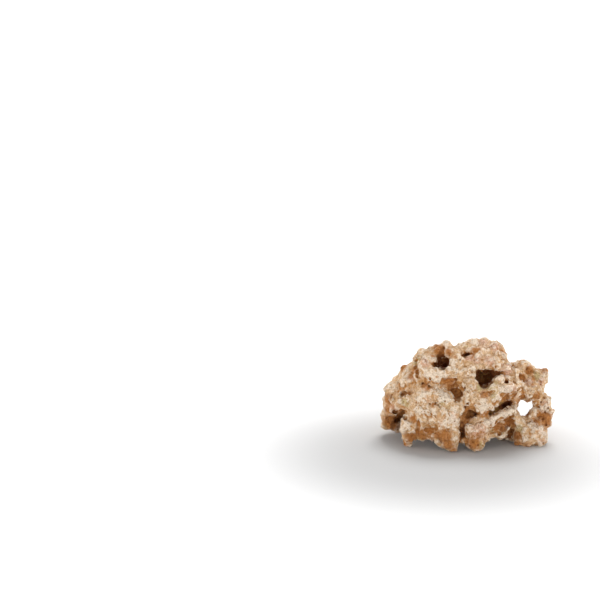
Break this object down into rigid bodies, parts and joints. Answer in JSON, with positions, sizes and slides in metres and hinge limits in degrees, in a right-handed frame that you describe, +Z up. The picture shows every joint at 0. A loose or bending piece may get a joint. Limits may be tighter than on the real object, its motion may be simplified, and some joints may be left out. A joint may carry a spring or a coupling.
{
  "type": "reef base rock",
  "caption": "Dry, porous reef base rock with knobs, caves, slanting bars and a hole through one thin end, resting on worn feet.",
  "frame": {"origin": "on the ground, under the middle of the rock's bounding box", "axes": "+X along the rock's length, to the right as pictured, +Y away from the viewer, +Z up"},
  "size_m": [0.2234, 0.1714, 0.1346],
  "materials": {
    "aragonite": "dry, matt and sandy: cream knobs, ochre and rust in the hollows, dark brown in the deep holes"
  },
  "bodies": {
    "root": {"base_rock": "aragonite"}
  },
  "joints": []
}
